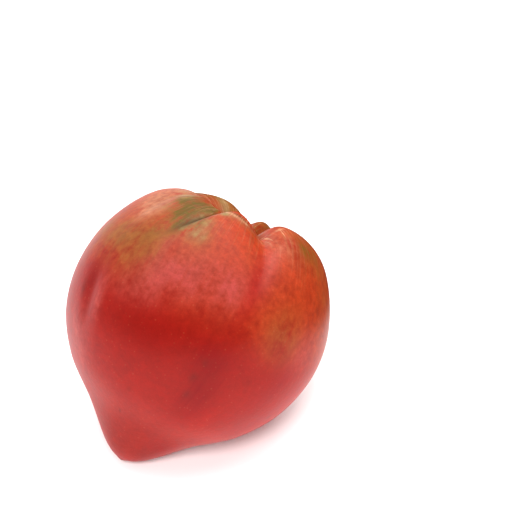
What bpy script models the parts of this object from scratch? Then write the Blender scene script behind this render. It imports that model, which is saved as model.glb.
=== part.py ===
"""An oxheart tomato, whole, lying on its side.

Frame: metres, +Z up. The origin is on the surface that the fruit rests on, under the middle of its
bounding box. The fruit's own axis, from blossom tip to stem end, heads along +Y and rises from that
surface. The fruit is worked out upright in millimetres, blossom tip at the bottom, and then laid down.
"""

from collections import namedtuple
from math import radians

import bpy
import numpy as np
from mathutils import Matrix, Vector

MM = 0.001

# Driving dimensions, in millimetres and degrees
WIDEST_RADIUS = 45.5    # at the widest girth, before the folds
CROWN_HEIGHT = 94.5     # blossom tip to the crest of the shoulders, along the fruit's axis
STEM_END_RISE = 47.0    # how far the axis rises from the surface
ROLL = 35.5             # how far the fruit is rolled about its own axis, from longitude 0 uppermost
REST_DEPTH = 1.0        # how much its own weight flattens the skin that it rests on

# Facets of the fruit
SEGMENTS = 80
RINGS = 42

# Half of the fruit's section, from the bottom of the stem cavity over the shoulders to the blossom tip:
# distance from the axis over WIDEST_RADIUS, and height over CROWN_HEIGHT
SECTION = (
    (0.00, 0.870),
    (0.11, 0.880),
    (0.23, 0.940),
    (0.43, 1.000),
    (0.68, 0.955),
    (0.935, 0.765),
    (1.00, 0.585),
    (0.915, 0.410),
    (0.705, 0.260),
    (0.42, 0.148),
    (0.137, 0.025),
    (0.00, 0.000),
)

# Creases (negative height) and lobes (positive height) that run out of the stem cavity over the shoulders.
# Longitudes and half widths are in degrees about the axis, heights and reaches in millimetres. A fold that
# leans is wider on one side: (1 + lean) times its half width towards lower longitudes, (1 - lean) towards
# higher ones.
Fold = namedtuple("Fold", "rim_longitude outer_longitude half_width lean height reach sharpness")
FOLDS = (
    Fold(-16, -28, 8, 0.5, -4.2, 60, 1.0),
    Fold(-15, -27, 3, 0.2, -1.6, 56, 1.2),
    Fold(-56, -52, 12, 0.4, -1.8, 72, 1.5),
    Fold(26, 18, 14, 0.6, -6.0, 52, 1.2),
    Fold(22, 18, 11, 0.4, -2.2, 86, 1.4),
    Fold(122, 124, 11, -0.3, -3.5, 66, 1.2),
    Fold(142, 140, 8, 0.0, -2.5, 56, 1.2),
    Fold(177, 172, 9, 0.3, -3.0, 60, 1.1),
    Fold(-108, -114, 7, 0.3, -1.6, 60, 1.1),
    Fold(-80, -72, 30, 0.0, -0.7, 96, 2.0),
    Fold(-34, -34, 14, 0.0, -2.2, 60, 2.0),
    Fold(60, 64, 40, 0.0, 2.0, 96, 2.0),
    Fold(160, 160, 14, 0.0, 3.6, 60, 2.0),
    Fold(-152, -148, 32, 0.0, 3.8, 70, 2.0),
)
FOLD_START = (3, 18)    # folds grow out of the cavity floor between these distances from its centre
FOLD_FULL = 28          # and begin to fade past this one
FOLD_DRIFT = 20         # a fold keeps its rim longitude up to here, then drifts to its outer one


def smooth_step(value, low, high):
    """0 below low, 1 above high, and 3t^2 - 2t^3 between them."""
    t = np.clip((value - low) / (high - low), 0.0, 1.0)
    return t * t * (3.0 - 2.0 * t)


def section_curve(count):
    """Points of a smooth curve through SECTION, in millimetres, at even steps along the skin.

    Each stretch is a cubic whose end slopes come from the neighbouring points, and the curve meets
    the axis at a right angle at both ends.
    """
    points = np.array(SECTION) * (WIDEST_RADIUS, CROWN_HEIGHT)
    spans = np.sqrt(np.linalg.norm(np.diff(points, axis=0), axis=1))
    knots = np.concatenate(([0.0], np.cumsum(spans)))
    slopes = np.gradient(points, knots, axis=0)
    slopes[0] = (np.linalg.norm(slopes[0]), 0.0)
    slopes[-1] = (-np.linalg.norm(slopes[-1]), 0.0)

    place = np.linspace(0.0, knots[-1], 50 * count)
    span = np.clip(np.searchsorted(knots, place, side="right") - 1, 0, len(spans) - 1)
    t = ((place - knots[span]) / spans[span])[:, None]
    width = spans[span][:, None]
    near = (1 + 2 * t) * (1 - t) ** 2 * points[span] + t * (1 - t) ** 2 * width * slopes[span]
    far = t ** 2 * (3 - 2 * t) * points[span + 1] + t ** 2 * (t - 1) * width * slopes[span + 1]
    curve = near + far

    travelled = np.concatenate(([0.0], np.cumsum(np.linalg.norm(np.diff(curve, axis=0), axis=1))))
    even = np.linspace(0.0, travelled[-1], count)
    return np.stack([np.interp(even, travelled, curve[:, side]) for side in range(2)], axis=1), even


def fold_height(longitude, distance):
    """How far the folds push the skin out, in millimetres, at a distance along it from the cavity's centre.

    Each fold is a bell curve across its longitude, times a window that opens at FOLD_START and closes
    between FOLD_FULL and the fold's reach.
    """
    height = np.zeros_like(longitude)
    for fold in FOLDS:
        drift = smooth_step(distance, FOLD_DRIFT, fold.reach)
        middle = fold.rim_longitude + (fold.outer_longitude - fold.rim_longitude) * drift
        turn = (longitude - middle + 180) % 360 - 180
        across = np.abs(turn) / (fold.half_width * (1 - fold.lean * np.sign(turn)))
        window = smooth_step(distance, *FOLD_START) * (1 - smooth_step(distance, FOLD_FULL, fold.reach))
        height += fold.height * window * np.exp(-across ** fold.sharpness)
    return height


def skin_points(longitude, share):
    """Upright points of the skin, in millimetres, at a share (0 to 1) of the way from cavity to blossom tip."""
    curve, travelled = section_curve(400)
    slope = np.gradient(curve, axis=0)
    slope /= np.linalg.norm(slope, axis=1)[:, None]
    distance = share * travelled[-1]
    radius, height, along_radius, along_height = (
        np.interp(distance, travelled, column) for column in (*curve.T, *slope.T)
    )
    push = fold_height(longitude, distance)
    radius = radius - push * along_height
    height = height + push * along_radius
    turn = np.radians(longitude)
    return np.stack([radius * np.sin(turn), -radius * np.cos(turn), height], axis=1)


def new_collection(name):
    collection = bpy.data.collections.new(name)
    bpy.context.scene.collection.children.link(collection)
    return collection


def move_to(collection, thing):
    for holder in list(thing.users_collection):
        holder.objects.unlink(thing)
    collection.objects.link(thing)


def skin_material():
    """Ripe tomato skin: a slightly brownish red with a waxy, satin surface."""
    material = bpy.data.materials.new("tomato_skin")
    material.use_nodes = True
    surface = material.node_tree.nodes["Principled BSDF"]
    surface.inputs["Base Color"].default_value = (0.55, 0.070, 0.042, 1.0)
    surface.inputs["Roughness"].default_value = 0.38
    surface.inputs["Metallic"].default_value = 0.0
    return material


def build_fruit(collection):
    """A sphere whose latitudes run along the section and whose surface is pushed in and out by the folds."""
    bpy.ops.mesh.primitive_uv_sphere_add(segments=SEGMENTS, ring_count=RINGS, radius=1.0)
    fruit = bpy.context.active_object
    fruit.name = "tomato_fruit"
    mesh = fruit.data
    mesh.name = "tomato_fruit"
    move_to(collection, fruit)

    ball = np.empty(3 * len(mesh.vertices))
    mesh.vertices.foreach_get("co", ball)
    ball = ball.reshape(-1, 3)
    longitude = np.degrees(np.arctan2(ball[:, 0], -ball[:, 1]))
    share = np.arccos(np.clip(ball[:, 2], -1.0, 1.0)) / np.pi
    upright = skin_points(longitude, share) * MM
    mesh.vertices.foreach_set("co", upright.ravel())
    mesh.shade_smooth()
    mesh.update()

    turn = Matrix.Rotation(radians(STEM_END_RISE - 90), 4, "X") @ Matrix.Rotation(radians(ROLL), 4, "Z")
    laid = upright @ np.array(turn.to_3x3()).T
    low, high = laid.min(axis=0), laid.max(axis=0)
    middle = (low + high) / 2
    offset = Vector((-middle[0], -middle[1], -low[2] - REST_DEPTH * MM))
    fruit.matrix_world = Matrix.Translation(offset) @ turn
    mesh.materials.append(skin_material())
    return fruit


def flatten_rest_spot(fruit, cutters):
    """Cut away what would reach below the surface, which leaves one small flat face to rest on."""
    side = 3 * WIDEST_RADIUS * MM
    bpy.ops.mesh.primitive_cube_add(size=side, location=(0, 0, -side / 2))
    table = bpy.context.active_object
    table.name = "table_cutter"
    table.hide_render = True
    table.display_type = "WIRE"
    move_to(cutters, table)

    cut = fruit.modifiers.new("rest_spot", "BOOLEAN")
    cut.operation = "DIFFERENCE"
    cut.solver = "EXACT"
    cut.object = table


def main():
    for thing in list(bpy.data.objects):
        bpy.data.objects.remove(thing, do_unlink=True)
    tomato = new_collection("oxheart_tomato")
    cutters = new_collection("cutters")
    fruit = build_fruit(tomato)
    flatten_rest_spot(fruit, cutters)


main()
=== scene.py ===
# %% [markdown]
# # An oxheart tomato
# The fruit is one piece: a heart-shaped tomato lying on its side, with pleated shoulders round a hidden
# stem cavity and a blunt blossom tip that nearly touches the table. Its skin is thin, waxy and satin, so
# the look rests on two things: a surface that swells and folds the way fruit grows, and a skin whose
# colour wanders from deep red to salmon, orange, bronze and green. Both are worked out below in the
# fruit's own terms, longitude about its axis and distance along the skin from the stem scar.

# %% Load the frame
from collections import namedtuple
from math import cos, radians, sin

import bpy
import numpy as np
from mathutils import Matrix, Vector


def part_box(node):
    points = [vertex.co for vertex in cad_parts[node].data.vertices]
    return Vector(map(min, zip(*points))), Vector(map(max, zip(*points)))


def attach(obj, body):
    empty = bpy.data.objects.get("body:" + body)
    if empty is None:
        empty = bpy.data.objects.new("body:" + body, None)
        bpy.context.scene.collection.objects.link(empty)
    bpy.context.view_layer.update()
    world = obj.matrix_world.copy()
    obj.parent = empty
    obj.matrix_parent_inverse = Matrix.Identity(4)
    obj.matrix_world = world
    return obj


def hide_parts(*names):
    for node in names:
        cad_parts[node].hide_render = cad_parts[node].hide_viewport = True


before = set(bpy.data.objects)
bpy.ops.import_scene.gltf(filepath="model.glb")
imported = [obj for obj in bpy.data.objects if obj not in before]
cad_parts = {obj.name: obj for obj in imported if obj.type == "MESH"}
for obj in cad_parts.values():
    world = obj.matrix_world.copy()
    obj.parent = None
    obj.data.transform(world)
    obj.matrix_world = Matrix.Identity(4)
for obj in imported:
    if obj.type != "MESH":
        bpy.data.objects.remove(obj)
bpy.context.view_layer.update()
NODE = "tomato_fruit"
node_low, node_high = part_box(NODE)
MM = 0.001
print("frame box in mm:", [round(side / MM, 1) for side in node_high - node_low])

# %% [markdown]
# ## The section of the fruit
# Cut in half along its axis, the fruit shows a heart-shaped outline. Twelve points give that outline, and
# a smooth curve runs through them. A lathe could make it, or a sculpted sphere. A curve that is turned
# about the axis was chosen because every later detail can then be placed by its longitude and by its
# distance along the skin, as a grower would describe it.

# %% Driving dimensions and the section curve
WIDEST_RADIUS = 45.5
CROWN_HEIGHT = 94.5
STEM_END_RISE = 47.0
ROLL = 35.5
REST_DEPTH = 1.0
SECTION_POINTS = 600
STEPS_BETWEEN = 50

SECTION = (
    (0.00, 0.870), (0.11, 0.880), (0.23, 0.940), (0.43, 1.000), (0.68, 0.955), (0.935, 0.765),
    (1.00, 0.585), (0.915, 0.410), (0.705, 0.260), (0.42, 0.148), (0.137, 0.025), (0.00, 0.000),
)


def smooth_step(value, low, high):
    """0 below low, 1 above high, and 3t^2 - 2t^3 between them."""
    t = np.clip((value - low) / (high - low), 0.0, 1.0)
    return t * t * (3.0 - 2.0 * t)


def section_curve(count):
    """Points through SECTION in mm at even steps along the skin, and the distance of each from the scar.

    Each stretch is a cubic whose end slopes come from the neighbouring points, and the curve meets the
    axis at a right angle at both ends.
    """
    points = np.array(SECTION) * (WIDEST_RADIUS, CROWN_HEIGHT)
    spans = np.sqrt(np.linalg.norm(np.diff(points, axis=0), axis=1))
    knots = np.concatenate(([0.0], np.cumsum(spans)))
    slopes = np.gradient(points, knots, axis=0)
    slopes[0] = (np.linalg.norm(slopes[0]), 0.0)
    slopes[-1] = (-np.linalg.norm(slopes[-1]), 0.0)

    place = np.linspace(0.0, knots[-1], STEPS_BETWEEN * count)
    span = np.clip(np.searchsorted(knots, place, side="right") - 1, 0, len(spans) - 1)
    t = ((place - knots[span]) / spans[span])[:, None]
    width = spans[span][:, None]
    near = (1 + 2 * t) * (1 - t) ** 2 * points[span] + t * (1 - t) ** 2 * width * slopes[span]
    far = t ** 2 * (3 - 2 * t) * points[span + 1] + t ** 2 * (t - 1) * width * slopes[span + 1]
    curve = near + far

    travelled = np.concatenate(([0.0], np.cumsum(np.linalg.norm(np.diff(curve, axis=0), axis=1))))
    even = np.linspace(0.0, travelled[-1], count)
    return np.stack([np.interp(even, travelled, curve[:, side]) for side in range(2)], axis=1), even


section, section_distance = section_curve(SECTION_POINTS)
SKIN_LENGTH = section_distance[-1]
print("skin from scar to blossom tip in mm:", round(SKIN_LENGTH, 1))

# %% [markdown]
# ## Folds and swells
# A big tomato grows from many seed chambers, and where they meet the shoulders are pleated. Each pleat is
# a crease or a lobe that runs out of the stem cavity and dies away down the side. It is drawn as a bell
# curve across its longitude, times a window along the skin. A sharpness of 1 gives a crease with a tight
# bottom, and 2 a round lobe. Broad swells are bells in both directions, for the shallow hollows lower
# down.

# %% Folds over the shoulders
Fold = namedtuple("Fold", "rim_longitude outer_longitude half_width lean height reach sharpness")
FOLDS = (
    Fold(-16, -28, 8, 0.5, -4.2, 60, 1.0),
    Fold(-15, -27, 3, 0.2, -1.6, 56, 1.2),
    Fold(-56, -52, 12, 0.4, -1.8, 72, 1.5),
    Fold(26, 18, 14, 0.6, -6.0, 52, 1.2),
    Fold(22, 18, 11, 0.4, -2.2, 86, 1.4),
    Fold(122, 124, 11, -0.3, -3.5, 66, 1.2),
    Fold(142, 140, 8, 0.0, -2.5, 56, 1.2),
    Fold(177, 172, 9, 0.3, -3.0, 60, 1.1),
    Fold(-108, -114, 7, 0.3, -1.6, 60, 1.1),
    Fold(-80, -72, 30, 0.0, -0.7, 96, 2.0),
    Fold(-34, -34, 14, 0.0, -2.2, 60, 2.0),
    Fold(60, 64, 40, 0.0, 2.0, 96, 2.0),
    Fold(160, 160, 14, 0.0, 3.6, 60, 2.0),
    Fold(-152, -148, 32, 0.0, 3.8, 70, 2.0),
)
FOLD_START = (3, 18)
FOLD_FULL = 28
FOLD_DRIFT = 20


def turn_between(longitude, middle):
    """The shorter way round from middle to longitude, in degrees, from -180 to 180."""
    return (longitude - middle + 180) % 360 - 180


def fold_height(longitude, distance):
    """Push of all folds in mm: the sum of height * window(distance) * exp(-|turn / half width|^sharpness)."""
    height = np.zeros_like(longitude)
    for fold in FOLDS:
        drift = smooth_step(distance, FOLD_DRIFT, fold.reach)
        middle = fold.rim_longitude + (fold.outer_longitude - fold.rim_longitude) * drift
        turn = turn_between(longitude, middle)
        across = np.abs(turn) / (fold.half_width * (1 - fold.lean * np.sign(turn)))
        window = smooth_step(distance, *FOLD_START) * (1 - smooth_step(distance, FOLD_FULL, fold.reach))
        height += fold.height * window * np.exp(-across ** fold.sharpness)
    return height


print("folds and lobes:", len(FOLDS))

# %% Patches: one bell in both directions, for swells and for colours
Patch = namedtuple("Patch", "longitude distance half_width half_length strength")


def patches(longitude, distance, rows):
    """Sum of strength * exp(-(turn / half width)^2 - ((distance - middle) / half length)^2) over the rows."""
    total = np.zeros_like(longitude)
    for row in rows:
        across = turn_between(longitude, row.longitude) / row.half_width
        along = (distance - row.distance) / row.half_length
        total += row.strength * np.exp(-across ** 2 - along ** 2)
    return total


SWELLS = (
    Patch(-72, 72, 24, 20, -1.0),
    Patch(-50, 84, 4.5, 9, -0.8),
    Patch(-42, 84, 4.5, 9, 0.5),
)
print("swells:", len(SWELLS))

# %% [markdown]
# ## Fine relief
# No fruit is as smooth as a turned shape. Its skin wobbles by a fifth of a millimetre, wrinkles run into
# the stem cavity, and the stem leaves a raised ring round a small pit. The blossom end keeps a nipple.
# A noise texture could push the skin about at random. Sums of sine waves and bells were chosen, because
# they close exactly after one turn and put each wrinkle where it belongs.

# %% Wobble, wrinkles, the ring and pit of the scar, and the nipple
Wave = namedtuple("Wave", "height count pitch offset start")
WOBBLES = (
    Wave(0.10, 3, 17, 0.0, (0, 15)),
    Wave(0.08, 5, -11, 1.3, (0, 15)),
    Wave(0.06, 8, 7, 0.4, (10, 40)),
)
BODY_START = (15, 45)
BODY_END = (25, 5)
WRINKLE_HEIGHT = 0.22
WRINKLE_COUNT = 27
WRINKLE_SWAY = 2
WRINKLE_SWAY_COUNT = 5
WRINKLE_START = (3, 6)
WRINKLE_END = (9, 20)
RING_HEIGHT = 0.55
RING_UNEVEN = 0.2
RING_COUNT = 7
RING_OFFSET = 1
RING_DISTANCE = 4.2
RING_WIDTH = 0.9
PIT_DEPTH = 1.1
PIT_WIDTH = 2.2
NIPPLE_HEIGHT = 0.3
NIPPLE_WIDTH = 1.1
DIMPLE_DEPTH = 0.15
DIMPLE_DISTANCE = 2.6
DIMPLE_WIDTH = 1.2


def bell(value, middle, width):
    """A bell curve, 1 at the middle: exp(-((value - middle) / width)^2)."""
    return np.exp(-((value - middle) / width) ** 2)


def fine_height(longitude, distance):
    """Push in mm of what only a close look shows.

    A wobble of about 0.2 mm, the sum of height * sin(count * turn + distance / pitch + offset), wrinkles
    that run into the cavity, the uneven ring and the pit where the stem broke off, and the small nipple of
    the blossom end with a shallow dimple round it.
    """
    turn = np.radians(longitude)
    from_tip = SKIN_LENGTH - distance
    wobble = sum(
        wave.height * np.sin(wave.count * turn + distance / wave.pitch + wave.offset)
        * smooth_step(distance, *wave.start)
        for wave in WOBBLES
    )
    near, far = (SKIN_LENGTH - side for side in BODY_END)
    body = smooth_step(distance, *BODY_START) * (1 - smooth_step(distance, near, far))
    sway = WRINKLE_SWAY * np.sin(WRINKLE_SWAY_COUNT * turn)
    wrinkles = WRINKLE_HEIGHT * np.sin(WRINKLE_COUNT * turn + sway)
    wrinkles *= smooth_step(distance, *WRINKLE_START) * (1 - smooth_step(distance, *WRINKLE_END))
    ring = RING_HEIGHT + RING_UNEVEN * np.sin(RING_COUNT * turn + RING_OFFSET)
    ring *= bell(distance, RING_DISTANCE, RING_WIDTH)
    pit = -PIT_DEPTH * bell(distance, 0.0, PIT_WIDTH)
    nipple = NIPPLE_HEIGHT * bell(from_tip, 0.0, NIPPLE_WIDTH)
    nipple -= DIMPLE_DEPTH * bell(from_tip, DIMPLE_DISTANCE, DIMPLE_WIDTH)
    return wobble * body + wrinkles + ring + pit + nipple


print("slow waves in the skin:", len(WOBBLES))

# %% [markdown]
# ## The skin as one closed surface
# The section and the pushes are evaluated on a grid of longitudes and distances. Rings are closer
# together near the stem, where the folds are tight, than on the plain belly. Both ends close to a single
# point with a fan of triangles, so the surface is watertight.

# %% The skin grid
LONGITUDES = 480
RINGS = 200
NEAR_SHARE = 0.55


def skin_points(longitude, distance):
    """Upright points in mm: the section turned to each longitude, then pushed out along its own normal."""
    slope = np.gradient(section, axis=0)
    slope /= np.linalg.norm(slope, axis=1)[:, None]
    radius, height, along_radius, along_height = (
        np.interp(distance, section_distance, column) for column in (*section.T, *slope.T)
    )
    push = fold_height(longitude, distance) + patches(longitude, distance, SWELLS)
    push += fine_height(longitude, distance)
    radius = np.maximum(radius - push * along_height, 0.0)
    height = height + push * along_radius
    turn = np.radians(longitude)
    return np.stack([radius * np.sin(turn), -radius * np.cos(turn), height], axis=-1)


def grid_places():
    """Longitude and distance of every point: each pole once, and the RINGS - 1 rings between them."""
    step = np.linspace(0.0, 1.0, RINGS + 1)[1:-1]
    rings = SKIN_LENGTH * (NEAR_SHARE * step + (1 - NEAR_SHARE) * step ** 2)
    around = np.arange(LONGITUDES) * 360.0 / LONGITUDES - 180.0
    longitude = np.concatenate(([0.0], np.tile(around, len(rings)), [0.0]))
    distance = np.concatenate(([0.0], np.repeat(rings, LONGITUDES), [SKIN_LENGTH]))
    return longitude, distance


def grid_faces():
    """Quads between neighbouring rings and a fan of triangles at each pole, all facing outwards."""
    ring = np.arange(LONGITUDES)
    after = (ring + 1) % LONGITUDES
    starts = 1 + LONGITUDES * np.arange(RINGS - 2)[:, None]
    quads = np.stack(
        [starts + ring, starts + LONGITUDES + ring, starts + LONGITUDES + after, starts + after], axis=-1
    ).reshape(-1, 4)
    last = 1 + LONGITUDES * (RINGS - 2)
    top = np.stack([np.zeros_like(ring), 1 + ring, 1 + after], axis=-1)
    bottom = np.stack([np.full_like(ring, last + LONGITUDES), last + after, last + ring], axis=-1)
    return top.tolist() + quads.tolist() + bottom.tolist()


def laid_down(upright):
    """The upright fruit in metres, turned onto its side, centred in the frame's box, its rest spot flat."""
    turn = Matrix.Rotation(radians(STEM_END_RISE - 90), 3, "X") @ Matrix.Rotation(radians(ROLL), 3, "Z")
    laid = upright * MM @ np.array(turn).T
    middle = (laid.min(axis=0) + laid.max(axis=0)) / 2
    wanted = (node_low + node_high) / 2
    laid[:, :2] += np.array(wanted)[:2] - middle[:2]
    laid[:, 2] -= laid[:, 2].min() + REST_DEPTH * MM
    laid[:, 2] = np.maximum(laid[:, 2], 0.0)
    return laid


longitude, distance = grid_places()
points = laid_down(skin_points(longitude, distance))
skin_mesh = bpy.data.meshes.new("tomato_skin")
skin_mesh.from_pydata(points.tolist(), [], grid_faces())
skin_mesh.shade_smooth()
skin = bpy.data.objects.new("tomato_skin", skin_mesh)
bpy.context.scene.collection.objects.link(skin)
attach(skin, "root")
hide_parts(NODE)
print("skin faces:", len(skin_mesh.polygons))

# %% [markdown]
# ## Where each colour lies
# Ripening starts at the blossom end and reaches the shoulders last, and sun and shade leave their own
# blotches. Each colour has a mask, a number from 0 to 1 at every point of the skin. Painting them by hand
# is one way. Here they are sums of soft patches, kept as mesh attributes, because a patch can be placed by
# longitude and distance in the same words as a fold. The material breaks the masks up with noise
# afterwards, so that no patch keeps a plain soft edge.
# Some masks also carry painted light: painted sheen and highlights where the ridges catch the light, and
# painted shade in the grooves, along the lobe edges, in the creases and on the lower side.

# %% Unripe colours: green, bronze, tan, and pale orange that is partly painted highlight
GREEN = (
    Patch(-41, 35, 9, 9, 1.0),
    Patch(-30, 39, 7, 10, 1.0),
    Patch(-26, 47, 4, 5, 0.7),
    Patch(-19, 45, 3, 6, 0.6),
    Patch(-36, 54, 5, 5, 0.3),
    Patch(-27, 30, 5, 5, 0.9),
    Patch(46, 36, 12, 3.5, 0.5),
    Patch(122, 34, 34, 11, 0.8),
    Patch(-118, 32, 26, 10, 0.8),
)
BRONZE = (
    Patch(-29, 26, 10, 6, 1.0),
    Patch(50, 31, 16, 4, 0.5),
    Patch(-165, 24, 14, 8, 0.9),
    Patch(-37, 60, 12, 11, 0.9),
    Patch(-53, 62, 10, 8, 0.8),
    Patch(-30, 52, 7, 6, 0.35),
    Patch(-70, 62, 8, 10, 0.6),
    Patch(-14, 50, 7, 8, 0.5),
    Patch(2, 34, 12, 3, 0.6),
    Patch(40, 68, 9, 8, 0.5),
    Patch(52, 39, 14, 5, 0.5),
    Patch(66, 52, 9, 12, 0.3),
    Patch(112, 54, 26, 14, 0.7),
    Patch(176, 46, 24, 12, 0.7),
    Patch(-130, 52, 24, 12, 0.7),
    Patch(-142, 22, 22, 9, 0.9),
    Patch(158, 22, 16, 8, 0.9),
)
TAN = (
    Patch(-23.5, 44, 3, 7, 1.6),
    Patch(-12, 35.5, 4, 2.2, 1.0),
    Patch(-51, 32, 7, 6, 0.9),
    Patch(-67, 28, 9, 6, 0.6),
    Patch(-140, 20, 7, 5, 0.7),
    Patch(-16, 51, 5, 3, 0.4),
    Patch(-16, 44, 3, 4, 0.6),
    Patch(100, 30, 14, 7, 0.6),
)
# Pale orange is partly the unripe skin's own colour and partly painted highlight: the patches on the upper
# left ridge, along the top of the front lobe and at the right lobe's top corner stand in for light catching
# those ridges.
PALE_AND_HIGHLIGHTS = (
    Patch(-62, 41, 11, 8, 0.9),
    Patch(-50, 47, 8, 6, 0.8),
    Patch(-46, 42, 6, 4, 0.5),
    Patch(-19, 47, 4, 5, 0.5),
    Patch(-3, 33, 10, 1.8, 1.0),
    Patch(27, 34, 5, 8, 0.3),
    Patch(36, 38, 6, 6, 0.35),
    Patch(150, 60, 12, 7, 0.4),
)
print("unripe patches:", sum(len(rows) for rows in (GREEN, BRONZE, TAN, PALE_AND_HIGHLIGHTS)))

# %% Edges of the front lobes: painted shade along the rims and painted highlight lines along the ridges
# Painted shade: dark brown along the lobe edges where they turn over into the stem cavity.
LOBE_EDGE_SHADE = (
    Patch(-16, 31.3, 6, 1.2, 0.8),
    Patch(-3, 31.2, 6, 1.1, 0.8),
    Patch(10, 31.6, 7, 1.2, 0.7),
    Patch(36, 24, 4, 1.6, 0.7),
    Patch(-46, 26.5, 8, 1.2, 0.5),
)
# Painted highlight: pale lines along the ridges of the front lobes and the top corner of the right lobe,
# where they catch the light.
RIDGE_HIGHLIGHTS = (
    Patch(-11, 33.4, 7, 0.8, 0.9),
    Patch(5, 33.3, 6, 0.7, 0.6),
    Patch(32, 27, 5, 0.7, 0.6),
)
print("patches along the lobe edges:", len(LOBE_EDGE_SHADE) + len(RIDGE_HIGHLIGHTS))

# %% Ripe colours with painted light: warmth taken out of the grooves, lower-side shade, pink and sheen, deep red and shade, and dark specks
# Painted shade: these two patches take the warm colour out of the right groove and the left hollow, leaving
# them a darker red.
GROOVE_SHADE_CUTS = (
    Patch(19, 58, 5, 12, -0.9),
    Patch(-52, 78, 8, 6, -0.5),
)
# Painted shade: a slightly darker red over the lower side of the fruit, holding down the light that the white
# table throws up onto it. The first patch takes it off near the blossom end, and the second adds it on the
# right side.
LOWER_SIDE_SHADE = (
    Patch(10, 148, 50, 6, -0.8),
    Patch(45, 100, 14, 12, 0.5),
)
# Pink is partly the skin's own colour and partly painted sheen: the broad patches on the upper front stand in
# for the sheen of the light above, and the narrow streaks beside the grooves are painted highlights.
PINK_AND_SHEEN = (
    Patch(-22, 68, 11, 7, 0.9),
    Patch(-26, 59, 5, 5, 0.5),
    Patch(-5, 64, 12, 8, 0.6),
    Patch(10, 62, 7, 8, 0.6),
    Patch(-28, 77, 12, 5, 0.4),
    Patch(-42, 85, 2.5, 7, 0.6),
    Patch(-56, 102, 9, 12, 0.6),
    Patch(24, 47, 3, 12, 0.4),
    Patch(60, 116, 16, 12, 0.25),
    Patch(55, 70, 8, 8, 0.3),
    Patch(140, 84, 18, 12, 0.5),
    Patch(-112, 76, 14, 10, 0.5),
)
# Deep red is partly the skin's own colour and partly painted shade: in the right groove, in the left hollow,
# across the dark middle band, on the right side and under the side near the blossom end.
DEEP_AND_SHADE = (
    Patch(20, 99, 10, 14, 0.8),
    Patch(15, 85, 8, 6, 0.4),
    Patch(-14, 88, 16, 7, 0.3),
    Patch(-53, 80, 4, 6, 0.7),
    Patch(54, 82, 14, 14, 0.4),
    Patch(56, 104, 16, 10, 0.5),
    Patch(44, 132, 22, 10, 0.45),
    Patch(168, 100, 26, 18, 0.5),
    Patch(-104, 106, 20, 14, 0.4),
)
SPECKS = (
    Patch(-20, 123, 1.3, 1.0, 0.8),
    Patch(13, 94, 1.8, 1.6, 0.6),
    Patch(15, 101, 1.6, 1.8, 0.6),
    Patch(14, 88, 1.4, 1.2, 0.5),
    Patch(-14, 110, 1.0, 0.8, 0.5),
    Patch(-30, 64, 1.2, 1.0, 0.4),
    Patch(-57, 84, 1.6, 2.4, 0.5),
    Patch(70, 95, 1.3, 1.1, 0.6),
    Patch(150, 118, 1.3, 1.0, 0.6),
    Patch(-140, 90, 1.4, 1.2, 0.6),
)
print("ripe patches:", sum(len(rows) for rows in (GROOVE_SHADE_CUTS, LOWER_SIDE_SHADE, PINK_AND_SHEEN, DEEP_AND_SHADE)), "and specks:", len(SPECKS))

# %% Masks at every point
TIGHT_FOLD = 9
DEEP_FOLD = 4.0
CREASE_WIDTH = 2.5
CREASE_FADE = 16
CREASE_STOP = 2
SHOULDER_END = (60, 84)
LOWER_SIDE_SHADE_START = (104, 124)
CAVITY_END = (9, 22)
STREAKS_END = (30, 58)
HAIRS_END = (26, 38)
SCAR_END = (4.4, 6.0)
TIP_END = (0.5, 1.3)


def crease_shade_lines(longitude, distance):
    """Painted shade along each tight fold, a dark line: depth * window(distance) * bell(turn, 0,
    CREASE_WIDTH).
    """
    line = np.zeros_like(longitude)
    for fold in FOLDS:
        if fold.height > 0 or fold.half_width > TIGHT_FOLD:
            continue
        drift = smooth_step(distance, FOLD_DRIFT, fold.reach)
        middle = fold.rim_longitude + (fold.outer_longitude - fold.rim_longitude) * drift
        fade = smooth_step(distance, fold.reach - CREASE_FADE, fold.reach - CREASE_STOP)
        window = smooth_step(distance, *FOLD_START) * (1 - fade)
        depth = min(-fold.height / DEEP_FOLD, 1.0)
        turn = turn_between(longitude, middle)
        line = np.maximum(line, depth * window * bell(turn, 0.0, CREASE_WIDTH))
    return line


shoulder = 1 - smooth_step(distance, *SHOULDER_END)
masks = {
    "green": patches(longitude, distance, GREEN),
    "bronze": patches(longitude, distance, BRONZE),
    "tan": patches(longitude, distance, TAN),
    "rim": patches(longitude, distance, LOBE_EDGE_SHADE),
    "ridge_highlights": patches(longitude, distance, RIDGE_HIGHLIGHTS),
    "pale_and_highlight": patches(longitude, distance, PALE_AND_HIGHLIGHTS),
    "warm_minus_groove_shade": shoulder + patches(longitude, distance, GROOVE_SHADE_CUTS),
    "lower_side_shade": smooth_step(distance, *LOWER_SIDE_SHADE_START) + patches(longitude, distance, LOWER_SIDE_SHADE),
    "pink_and_sheen": patches(longitude, distance, PINK_AND_SHEEN),
    "deep_and_shade": patches(longitude, distance, DEEP_AND_SHADE),
    "specks": patches(longitude, distance, SPECKS),
    "crease_shade": crease_shade_lines(longitude, distance),
    "cavity": 1 - smooth_step(distance, *CAVITY_END),
    "streaky": 1 - smooth_step(distance, *STREAKS_END),
    "hairs": 1 - smooth_step(distance, *HAIRS_END),
    "scar": 1 - smooth_step(distance, *SCAR_END),
    "tip": 1 - smooth_step(SKIN_LENGTH - distance, *TIP_END),
}
for name, values in masks.items():
    layer = skin_mesh.attributes.new(name, "FLOAT", "POINT")
    layer.data.foreach_set("value", np.clip(values, 0, 1).astype(np.float32))
print("masks:", ", ".join(masks))

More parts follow.
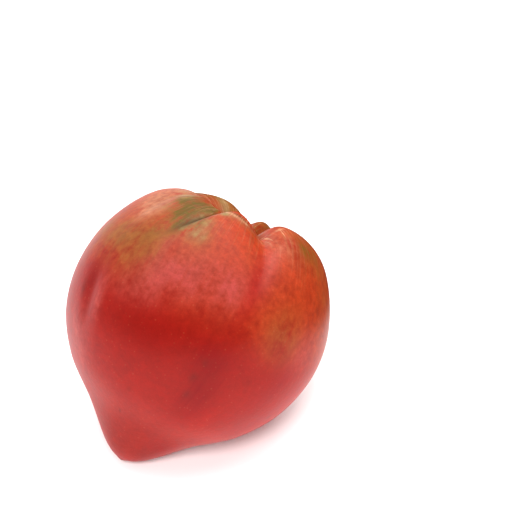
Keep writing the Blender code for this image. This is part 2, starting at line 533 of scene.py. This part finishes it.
# %% Directions along and across the fruit
turn = np.radians(longitude)
growth = np.stack([np.sin(turn), np.cos(turn), distance / WIDEST_RADIUS], axis=-1)
layer = skin_mesh.attributes.new("growth", "FLOAT_VECTOR", "POINT")
layer.data.foreach_set("vector", growth.astype(np.float32).ravel())
print("growth runs from 0 to", round(float(growth[:, 2].max()), 2), "along the skin")

# %% [markdown]
# ## Shader maths as expressions
# A material is a tree of nodes, and a long tree is hard to read. One small class wraps a node's output,
# so that `1 - mask * 0.5` adds the two Math nodes that work it out. Colours go through Mix nodes, because
# a Math node would turn them grey.


# %% A wrapper for node outputs
class Wire:
    """One output of a node. Arithmetic with numbers or other wires adds Math nodes."""

    def __init__(self, tree, socket):
        self.tree = tree
        self.socket = socket

    def math(self, operation, first, second):
        return node(self.tree, "ShaderNodeMath", {"operation": operation}, {0: first, 1: second})

    def __add__(self, other):
        return self.math("ADD", self, other)

    def __sub__(self, other):
        return self.math("SUBTRACT", self, other)

    def __rsub__(self, other):
        return self.math("SUBTRACT", other, self)

    def __mul__(self, other):
        return self.math("MULTIPLY", self, other)

    __radd__ = __add__
    __rmul__ = __mul__

    def clamp(self):
        return node(self.tree, "ShaderNodeClamp", {}, {"Value": self})

    def ramp(self, low, high):
        """0 below low, 1 above high, smooth between."""
        settings = {"interpolation_type": "SMOOTHSTEP"}
        values = {"Value": self, "From Min": low, "From Max": high}
        return node(self.tree, "ShaderNodeMapRange", settings, values)


def node(tree, kind, settings, values, output=0):
    """Add a node: its settings first, then the value or wire of each input. Returns one output's Wire."""
    made = tree.nodes.new(kind)
    for name, setting in settings.items():
        setattr(made, name, setting)
    for name, value in values.items():
        if isinstance(value, Wire):
            tree.links.new(value.socket, made.inputs[name])
        else:
            made.inputs[name].default_value = value
    return Wire(tree, made.outputs[output])


# %% Helpers that name the nodes used most
def attribute(tree, name, output="Fac"):
    """A mesh attribute, as a number unless another output is named."""
    return node(tree, "ShaderNodeAttribute", {"attribute_name": name}, {}, output)


def mix_colour(tree, factor, first, second, blend="MIX"):
    """Mix two colours; a plain colour is a tuple of red, green and blue."""
    first, second = ((*colour, 1.0) if isinstance(colour, tuple) else colour for colour in (first, second))
    settings = {"data_type": "RGBA", "blend_type": blend}
    return node(tree, "ShaderNodeMix", settings, {"Factor": factor, "A": first, "B": second}, "Result")


def noise(tree, place, scale, detail=3.0, roughness=0.5):
    """Cloudy noise from 0 to 1, with about scale blobs in each unit of place."""
    values = {"Vector": place, "Scale": scale, "Detail": detail, "Roughness": roughness}
    return node(tree, "ShaderNodeTexNoise", {}, values)


def stretched(tree, place, factors):
    """Place times factors, axis by axis: a large factor squeezes a pattern along that axis."""
    return node(tree, "ShaderNodeVectorMath", {"operation": "MULTIPLY"}, {0: place, 1: factors})


# %% [markdown]
# ## The skin's finish
# Ripe tomato skin is a clear, waxy layer over coloured flesh: satin, never mirror bright. The material is
# one Principled shader. Five noise fields give it life: blotches of about 8 mm, mottling of 2 mm, a grain
# of half a millimetre, and coarse and fine streaks that follow the growth from stem to tip. They move the
# edges of the colour masks, shade the red, and roughen the wax a little.

# %% The skin material and its noise fields
material = bpy.data.materials.new("tomato_skin")
material.use_nodes = True
tree = material.node_tree
surface = tree.nodes["Principled BSDF"]
skin_mesh.materials.append(material)

BLOTCH_SCALE = 120.0
MOTTLE_SCALE = 480.0
GRAIN_SCALE = 1900.0
STREAK_STRETCH = (26.0, 26.0, 2.2)
FINE_STREAK_STRETCH = (70.0, 70.0, 4.0)
BLOTCH_SHARE = 0.9
MOTTLE_SHARE = 0.5
STREAK_SHARE = 0.7

place = node(tree, "ShaderNodeTexCoord", {}, {}, "Object")
growth_place = attribute(tree, "growth", "Vector")
blotches = noise(tree, place, BLOTCH_SCALE, detail=2.0)
mottle = noise(tree, place, MOTTLE_SCALE, detail=3.0, roughness=0.6)
grain = noise(tree, place, GRAIN_SCALE, detail=1.0)
streaks = noise(tree, stretched(tree, growth_place, STREAK_STRETCH), 1.0, detail=3.0, roughness=0.6)
fine_streaks = noise(tree, stretched(tree, growth_place, FINE_STREAK_STRETCH), 1.0, detail=2.0)
wander = blotches * BLOTCH_SHARE + mottle * MOTTLE_SHARE + streaks * STREAK_SHARE
wander = wander - (BLOTCH_SHARE + MOTTLE_SHARE + STREAK_SHARE) / 2
print("nodes so far:", len(tree.nodes))

# %% [markdown]
# ### Colours
# The ground colour is red. Each layer of colour is laid over the ones before it through its own mask, and
# the noise carries the mask's edge in and out by the layer's reach. The ripe colours blend softly, with a
# short reach, and the green of the shoulder runs out in rags, with a long one.

# %% Colours of the skin
RED = (0.430, 0.011, 0.005)
WARM_RED = (0.515, 0.050, 0.013)
LOWER_SIDE_SHADE_RED = (0.400, 0.016, 0.008)
DEEP_SHADE_RED = (0.290, 0.002, 0.002)
PINK_SHEEN_RED = (0.550, 0.072, 0.058)
BRONZE_BROWN = (0.350, 0.105, 0.022)
PALE_ORANGE_AND_HIGHLIGHT = (0.520, 0.190, 0.095)
OLIVE_TAN = (0.330, 0.195, 0.070)
CREAM_AND_HIGHLIGHT = (0.800, 0.480, 0.260)
LOBE_EDGE_SHADE_BROWN = (0.110, 0.045, 0.014)
SHOULDER_GREEN = (0.140, 0.084, 0.006)
CAVITY_OLIVE = (0.200, 0.110, 0.018)
CREASE_SHADE_BROWN = (0.050, 0.026, 0.004)
SPECK_BROWN = (0.180, 0.008, 0.005)
CORK = (0.330, 0.200, 0.100)
CORK_CRACK = (0.070, 0.035, 0.018)
TIP_BROWN = (0.110, 0.050, 0.025)
MASK_EDGE = (0.0, 0.5)


def broken(name, reach):
    """A mask whose edge wanders: mask + ramp(mask) * wander * reach, kept between 0 and 1."""
    mask = attribute(tree, name)
    return (mask + mask.ramp(*MASK_EDGE) * wander * reach).clamp()


# Besides colour, the lower-side, deep, pink and pale layers paint shade, sheen and highlights into the skin.
LAYERS = (
    ("warm_minus_groove_shade", 0.8, WARM_RED),
    ("lower_side_shade", 0.8, LOWER_SIDE_SHADE_RED),
    ("deep_and_shade", 1.1, DEEP_SHADE_RED),
    ("pink_and_sheen", 1.1, PINK_SHEEN_RED),
    ("bronze", 1.4, BRONZE_BROWN),
    ("pale_and_highlight", 1.5, PALE_ORANGE_AND_HIGHLIGHT),
    ("green", 2.2, SHOULDER_GREEN),
    ("tan", 1.8, OLIVE_TAN),
)
colour = RED
for name, reach, layer_colour in LAYERS:
    colour = mix_colour(tree, broken(name, reach), colour, layer_colour)
print("colour layers:", len(LAYERS))

# %% [markdown]
# ### Streaks, flecks and specks
# Near the stem the colours run out in streaks along the growth, and the finest of them are pale as hairs.
# All over the fruit the skin carries pale flecks, the cells under each tiny pore, and here and there a dark
# speck where it was rubbed or stung. The three scales of noise make every colour a little lighter or darker.

# %% Streaks and flecks
LIGHT_STREAKS = 0.35
LIGHT_STREAK_EDGE = (0.52, 0.70)
DARK_STREAKS = 0.50
DARK_STREAK_EDGE = (0.54, 0.72)
HAIRS = 0.60
HAIR_EDGE = (0.60, 0.68)
FLECKS = 0.15
FLECK_SCALE = 620.0
FLECK_EDGE = (0.10, 0.24)
FLECK_COVER = (0.46, 0.60)

streaky = attribute(tree, "streaky")
light_streaks = fine_streaks.ramp(*LIGHT_STREAK_EDGE) * streaky
dark_streaks = streaks.ramp(*DARK_STREAK_EDGE) * streaky
hairs = fine_streaks.ramp(*HAIR_EDGE) * attribute(tree, "hairs")
colour = mix_colour(tree, light_streaks * LIGHT_STREAKS, colour, PALE_ORANGE_AND_HIGHLIGHT)
colour = mix_colour(tree, dark_streaks * DARK_STREAKS, colour, BRONZE_BROWN)
colour = mix_colour(tree, hairs * HAIRS, colour, CREAM_AND_HIGHLIGHT)

cells = {"Vector": place, "Scale": FLECK_SCALE, "Randomness": 1.0}
fleck_distance = node(tree, "ShaderNodeTexVoronoi", {"feature": "F1"}, cells)
flecks = (1 - fleck_distance.ramp(*FLECK_EDGE)) * mottle.ramp(*FLECK_COVER)
colour = mix_colour(tree, flecks * FLECKS, colour, PALE_ORANGE_AND_HIGHLIGHT)
print("nodes so far:", len(tree.nodes))

# %% Light and dark in the colour, and the specks
MOTTLE_SHADE = 0.44
WARM_MOTTLE_SHADE = 0.36
GRAIN_SHADE = 0.26
BLOTCH_SHADE = 0.34

mottling = attribute(tree, "warm_minus_groove_shade") * WARM_MOTTLE_SHADE + MOTTLE_SHADE
shade = (mottle - 0.5) * mottling + (grain - 0.5) * GRAIN_SHADE + (blotches - 0.5) * BLOTCH_SHADE + 1.0
shade_colour = node(tree, "ShaderNodeCombineXYZ", {}, {"X": shade, "Y": shade, "Z": shade})
colour = mix_colour(tree, 1.0, colour, shade_colour, "MULTIPLY")
colour = mix_colour(tree, attribute(tree, "specks"), colour, SPECK_BROWN)
print("nodes so far:", len(tree.nodes))

# %% [markdown]
# ### Creases, cavity, scar and tip
# Painted shade darkens the tight creases. The cavity is the last part to ripen, so it stays olive with
# pale streaks. Where the front lobes turn over into it, painted shade darkens their edges, with a pale line
# of painted highlight along the ridge beside them, and both are torn by the fine streaks. The scar is dry,
# cracked cork, and the blossom end keeps a brown dot.

# %% Cavity, and painted shade in the creases
CAVITY_COVER = 0.85
CAVITY_EDGE = (0.0, 0.3)
CAVITY_STREAKS = 0.5
CAVITY_STREAK_EDGE = (0.50, 0.62)
CREASE_SHADE_COVER = 0.90

cavity = attribute(tree, "cavity")
crease_shade_mask = attribute(tree, "crease_shade")
olive = (cavity * CAVITY_COVER + cavity.ramp(*CAVITY_EDGE) * wander).clamp()
colour = mix_colour(tree, olive, colour, CAVITY_OLIVE)
pale_lines = cavity * fine_streaks.ramp(*CAVITY_STREAK_EDGE) * CAVITY_STREAKS
colour = mix_colour(tree, pale_lines, colour, PALE_ORANGE_AND_HIGHLIGHT)
# Painted shade: a dark line in each tight crease.
colour = mix_colour(tree, crease_shade_mask * CREASE_SHADE_COVER, colour, CREASE_SHADE_BROWN)
print("nodes so far:", len(tree.nodes))

# %% Painted shade and highlight on the lobe edges, then scar and tip
TORN_EDGE = (0.40, 0.60)
TORN_LEAST = 0.3
TORN_RANGE = 0.6
LOBE_EDGE_SHADE_COVER = 1.2
LOBE_EDGE_SHADE_REACH = 1.1
RIDGE_HIGHLIGHT_REACH = 1.5
CRACK_STRETCH = (9.0, 9.0, 12.0)
CRACK_EDGE = (0.40, 0.62)

torn = fine_streaks.ramp(*TORN_EDGE) * TORN_RANGE + TORN_LEAST
# Painted shade darkens the lobe edges where they turn into the cavity.
colour = mix_colour(tree, broken("rim", LOBE_EDGE_SHADE_REACH) * (LOBE_EDGE_SHADE_COVER - torn), colour, LOBE_EDGE_SHADE_BROWN)
# Painted highlight lines along the lobe ridges, in the cream that the hairs use too.
colour = mix_colour(tree, broken("ridge_highlights", RIDGE_HIGHLIGHT_REACH) * torn, colour, CREAM_AND_HIGHLIGHT)
scar = attribute(tree, "scar")
cracks = noise(tree, stretched(tree, growth_place, CRACK_STRETCH), 1.0, detail=4.0, roughness=0.7)
cork = mix_colour(tree, cracks.ramp(*CRACK_EDGE), CORK_CRACK, CORK)
colour = mix_colour(tree, scar, colour, cork)
colour = mix_colour(tree, attribute(tree, "tip"), colour, TIP_BROWN)
tree.links.new(colour.socket, surface.inputs["Base Color"])
print("nodes so far:", len(tree.nodes))

# %% [markdown]
# ### Wax
# The wax decides how sharp the light's reflection is. It is duller in the creases and on the corky scar,
# and its surface is not quite flat: a fine orange peel catches the light. Under the wax the flesh lets a
# little light through, red most of all, so a trace of subsurface light softens the shade.

# %% Roughness
WAX_ROUGHNESS = 0.30
MOTTLE_ROUGHNESS = 0.10
BLOTCH_ROUGHNESS = 0.08
SCAR_ROUGHNESS = 0.40
CREASE_ROUGHNESS = 0.15

roughness = mottle * MOTTLE_ROUGHNESS + blotches * BLOTCH_ROUGHNESS + scar * SCAR_ROUGHNESS
roughness = roughness + crease_shade_mask * CREASE_ROUGHNESS + WAX_ROUGHNESS
tree.links.new(roughness.socket, surface.inputs["Roughness"])
print("least roughness:", WAX_ROUGHNESS)

# %% Orange peel and the shader's own numbers
PEEL_DEPTH = 0.12 * MM
PEEL_SCALE = 700.0
PEEL_RELIEF = 0.5
GRAIN_RELIEF = 0.12
STREAK_RELIEF = 0.9
CRACK_RELIEF = 6.0
SHINE = 0.15
GLOW = 0.08
GLOW_SPREAD = (1.0, 0.25, 0.12)
GLOW_DEPTH = 2 * MM

peel = noise(tree, place, PEEL_SCALE, detail=2.0)
relief = peel * PEEL_RELIEF + grain * GRAIN_RELIEF
relief = relief + fine_streaks * streaky * STREAK_RELIEF + cracks * scar * CRACK_RELIEF
bump = node(tree, "ShaderNodeBump", {}, {"Strength": 1.0, "Distance": PEEL_DEPTH, "Height": relief})
tree.links.new(bump.socket, surface.inputs["Normal"])
surface.inputs["Specular IOR Level"].default_value = SHINE
surface.inputs["Subsurface Weight"].default_value = GLOW
surface.inputs["Subsurface Radius"].default_value = GLOW_SPREAD
surface.inputs["Subsurface Scale"].default_value = GLOW_DEPTH
print("skin material nodes:", len(tree.nodes))

# %% [markdown]
# ## The table
# The fruit lies on plain white board. It is one big flat face with a matt white finish, so wide that its far
# edge shows only from low down.

# %% Plain materials and the table
TABLE_SIDE = 6.0
TABLE_WHITE = (0.95, 0.95, 0.95)
TABLE_ROUGHNESS = 0.9


def plain_material(name, colour, roughness):
    """One colour and one roughness all over, for the stage."""
    made = bpy.data.materials.new(name)
    made.use_nodes = True
    shader = made.node_tree.nodes["Principled BSDF"]
    shader.inputs["Base Color"].default_value = (*colour, 1.0)
    shader.inputs["Roughness"].default_value = roughness
    return made


def stage_face(name, corners, material):
    """One flat face of the stage, from its corners in order."""
    mesh = bpy.data.meshes.new(name)
    mesh.from_pydata(corners, [], [tuple(range(len(corners)))])
    mesh.materials.append(material)
    face = bpy.data.objects.new(name, mesh)
    bpy.context.scene.collection.objects.link(face)
    return face


half = TABLE_SIDE / 2
table_corners = [(-half, -half, 0.0), (half, -half, 0.0), (half, half, 0.0), (-half, half, 0.0)]
table = stage_face("table", table_corners, plain_material("white_board", TABLE_WHITE, TABLE_ROUGHNESS))
print("table side in m:", TABLE_SIDE)

# %% [markdown]
# ## The camera
# A long lens from a little above and to the right of the fruit's blossom end shows the heart shape, the
# pleats and the tip together. The camera's place is worked out from the angles that it looks along, and
# the point that it aims at is given from the middle of the fruit.

# %% Camera
CAMERA_AZIMUTH = radians(42)
CAMERA_ELEVATION = radians(30)
CAMERA_DISTANCE = 0.494
AIM_RIGHT = 0.0195
AIM_UP = 0.0204
LENS = 100.0
SENSOR = 36.0


def outward(azimuth, elevation):
    """The unit vector from the fruit at these angles; azimuth 0 is the front."""
    flat = cos(elevation)
    return Vector((sin(azimuth) * flat, -cos(azimuth) * flat, sin(elevation)))


back = outward(CAMERA_AZIMUTH, CAMERA_ELEVATION)
right = Vector((cos(CAMERA_AZIMUTH), sin(CAMERA_AZIMUTH), 0.0))
up = back.cross(right)
camera_data = bpy.data.cameras.new("camera")
camera_data.lens = LENS
camera_data.sensor_width = SENSOR
camera = bpy.data.objects.new("camera", camera_data)
bpy.context.scene.collection.objects.link(camera)
camera.location = (node_low + node_high) / 2 + right * AIM_RIGHT + up * AIM_UP + back * CAMERA_DISTANCE
camera.rotation_mode = "QUATERNION"
camera.rotation_quaternion = (-back).to_track_quat("-Z", "Y")
bpy.context.scene.camera = camera
print("camera in mm:", [round(side / MM) for side in camera.location])

# %% [markdown]
# ## The light
# The fruit stands in a light tent: white cloth all round, with a gap where the camera looks in. The
# white cloth gives soft light from every side, and the gap gives the darker, deeper red in the middle of
# the fruit. One soft box hangs above. A second one stands in front and lights only the table, which keeps
# the board white and hides most of the fruit's shadow behind it. A dark red card behind the fruit, out of
# sight of the camera, keeps white reflections off its far shoulder, as a neighbouring fruit would. It
# hangs clear of the table, so that it leaves no edge of shade there.


# %% Soft boxes
def soft_box(name, location, size, power):
    """A square area light that faces the fruit."""
    light_data = bpy.data.lights.new(name, "AREA")
    light_data.shape = "SQUARE"
    light_data.size = size
    light_data.energy = power
    light = bpy.data.objects.new(name, light_data)
    light.location = location
    light.rotation_mode = "QUATERNION"
    light.rotation_quaternion = (-Vector(location)).to_track_quat("-Z", "Y")
    bpy.context.scene.collection.objects.link(light)
    return light


OVERHEAD_PLACE = (0.05, 0.17, 0.80)
OVERHEAD_SIZE = 0.9
OVERHEAD_POWER = 8.0
TABLE_LIGHT_AZIMUTH = radians(36)
TABLE_LIGHT_ELEVATION = radians(40)
TABLE_LIGHT_SIZE = 0.4
TABLE_LIGHT_POWER = 12.5

soft_box("overhead", OVERHEAD_PLACE, OVERHEAD_SIZE, OVERHEAD_POWER)
table_light_place = outward(TABLE_LIGHT_AZIMUTH, TABLE_LIGHT_ELEVATION)
table_light = soft_box("table_light", table_light_place, TABLE_LIGHT_SIZE, TABLE_LIGHT_POWER)
table_only = bpy.data.collections.new("table_only")
table_only.objects.link(table)
table_light.light_linking.receiver_collection = table_only

# %% The light tent
TENT_WHITE = (1.0, 1.0, 1.0)
TENT_GAP = (0.10, 0.10, 0.11)
TENT_STRENGTH = 0.85
GAP_DIRECTION = (0.64, -0.72, 0.26)
GAP_EDGE = (0.0, 0.75)

world = bpy.data.worlds.new("light_tent")
bpy.context.scene.world = world
world.use_nodes = True
tent = world.node_tree
direction = node(tent, "ShaderNodeTexCoord", {}, {}, "Generated")
toward = {0: direction, 1: GAP_DIRECTION}
facing_gap = node(tent, "ShaderNodeVectorMath", {"operation": "DOT_PRODUCT"}, toward, "Value")
cloth = mix_colour(tent, facing_gap.ramp(*GAP_EDGE), TENT_WHITE, TENT_GAP)
tent.links.new(cloth.socket, tent.nodes["Background"].inputs["Color"])
tent.nodes["Background"].inputs["Strength"].default_value = TENT_STRENGTH
bpy.context.scene.view_settings.view_transform = "Standard"
print("tent strength:", TENT_STRENGTH)

# %% The dark card
CARD_NEAR = Vector((-0.07, 0.085, 0.02))
CARD_FAR = Vector((0.16, 0.06, 0.02))
CARD_HEIGHT = Vector((0.0, 0.0, 0.08))
CARD_RED = (0.10, 0.02, 0.01)
CARD_ROUGHNESS = 0.8

card_corners = [CARD_NEAR, CARD_FAR, CARD_FAR + CARD_HEIGHT, CARD_NEAR + CARD_HEIGHT]
card = stage_face("dark_card", card_corners, plain_material("dark_red_card", CARD_RED, CARD_ROUGHNESS))
card.visible_camera = False
card.visible_shadow = False
print("card from", round(CARD_NEAR.z / MM), "to", round(card_corners[2].z / MM), "mm above the table")
